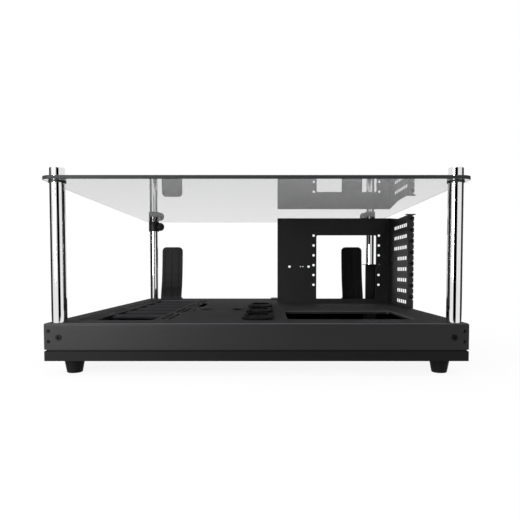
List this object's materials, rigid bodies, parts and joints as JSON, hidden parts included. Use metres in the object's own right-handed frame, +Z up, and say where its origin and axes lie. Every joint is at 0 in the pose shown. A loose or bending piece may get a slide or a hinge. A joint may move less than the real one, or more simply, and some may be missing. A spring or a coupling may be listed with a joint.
{
  "type": "open bench computer case",
  "caption": "Open bench computer case: flat steel base with fan vent, cooler opening and cable grommets, chromed posts, tinted glass top and an upright rack for vertical cards.",
  "frame": {"origin": "middle of the footprint, at the height of the surface that the feet stand on", "axes": "X left to right seen from the front, Y front to back, Z up"},
  "size_m": [0.5694, 0.5944, 0.2775],
  "materials": {
    "black_steel": "fine satin black powder coat on steel sheet",
    "black_rubber": "moulded black rubber",
    "chrome": "bright chromed tube",
    "tinted_glass": "grey tinted toughened glass",
    "black_plastic": "moulded black plastic",
    "screw_steel": "blackened steel screws",
    "bare_steel": "zinc plated steel"
  },
  "bodies": {
    "root": {"bottom_pan": "black_steel", "chassis_shell": "black_steel", "louvre_panel": "black_steel", "grommet_front": "black_rubber", "grommet_middle": "black_rubber", "grommet_rear": "black_rubber", "card_rack": "black_steel", "slot_cover_1": "black_steel", "slot_cover_2": "black_steel", "slot_cover_3": "black_steel", "slot_cover_4": "black_steel", "slot_cover_5": "black_steel", "slot_cover_6": "black_steel", "slot_cover_7": "black_steel", "slot_cover_8": "black_steel", "slot_screws": "screw_steel", "rack_screws": "screw_steel", "post_front_left": "chrome", "post_front_right": "chrome", "post_rear_left": "chrome", "post_rear_right": "chrome", "glass_top": "tinted_glass", "glass_ring_left": "black_rubber", "glass_ring_right": "black_rubber", "clamp_collar_left": "black_plastic", "clamp_collar_right": "black_plastic", "collar_knob_left": "black_plastic", "collar_knob_right": "black_plastic", "corner_block_front_left": "bare_steel", "corner_block_front_right": "bare_steel", "corner_block_rear_left": "bare_steel", "corner_block_rear_right": "bare_steel", "foot_front_left": "black_rubber", "foot_front_right": "black_rubber", "foot_rear_left": "black_rubber", "foot_rear_right": "black_rubber", "rear_bracket_left": "black_steel", "rear_bracket_right": "black_steel", "rear_bracket_screws": "screw_steel", "psu_bracket": "black_steel", "psu_bracket_screws": "screw_steel", "corner_screws": "screw_steel", "corner_rivets": "screw_steel", "post_screws": "screw_steel", "foot_screws": "screw_steel", "cable_clip": "black_plastic"}
  },
  "joints": []
}
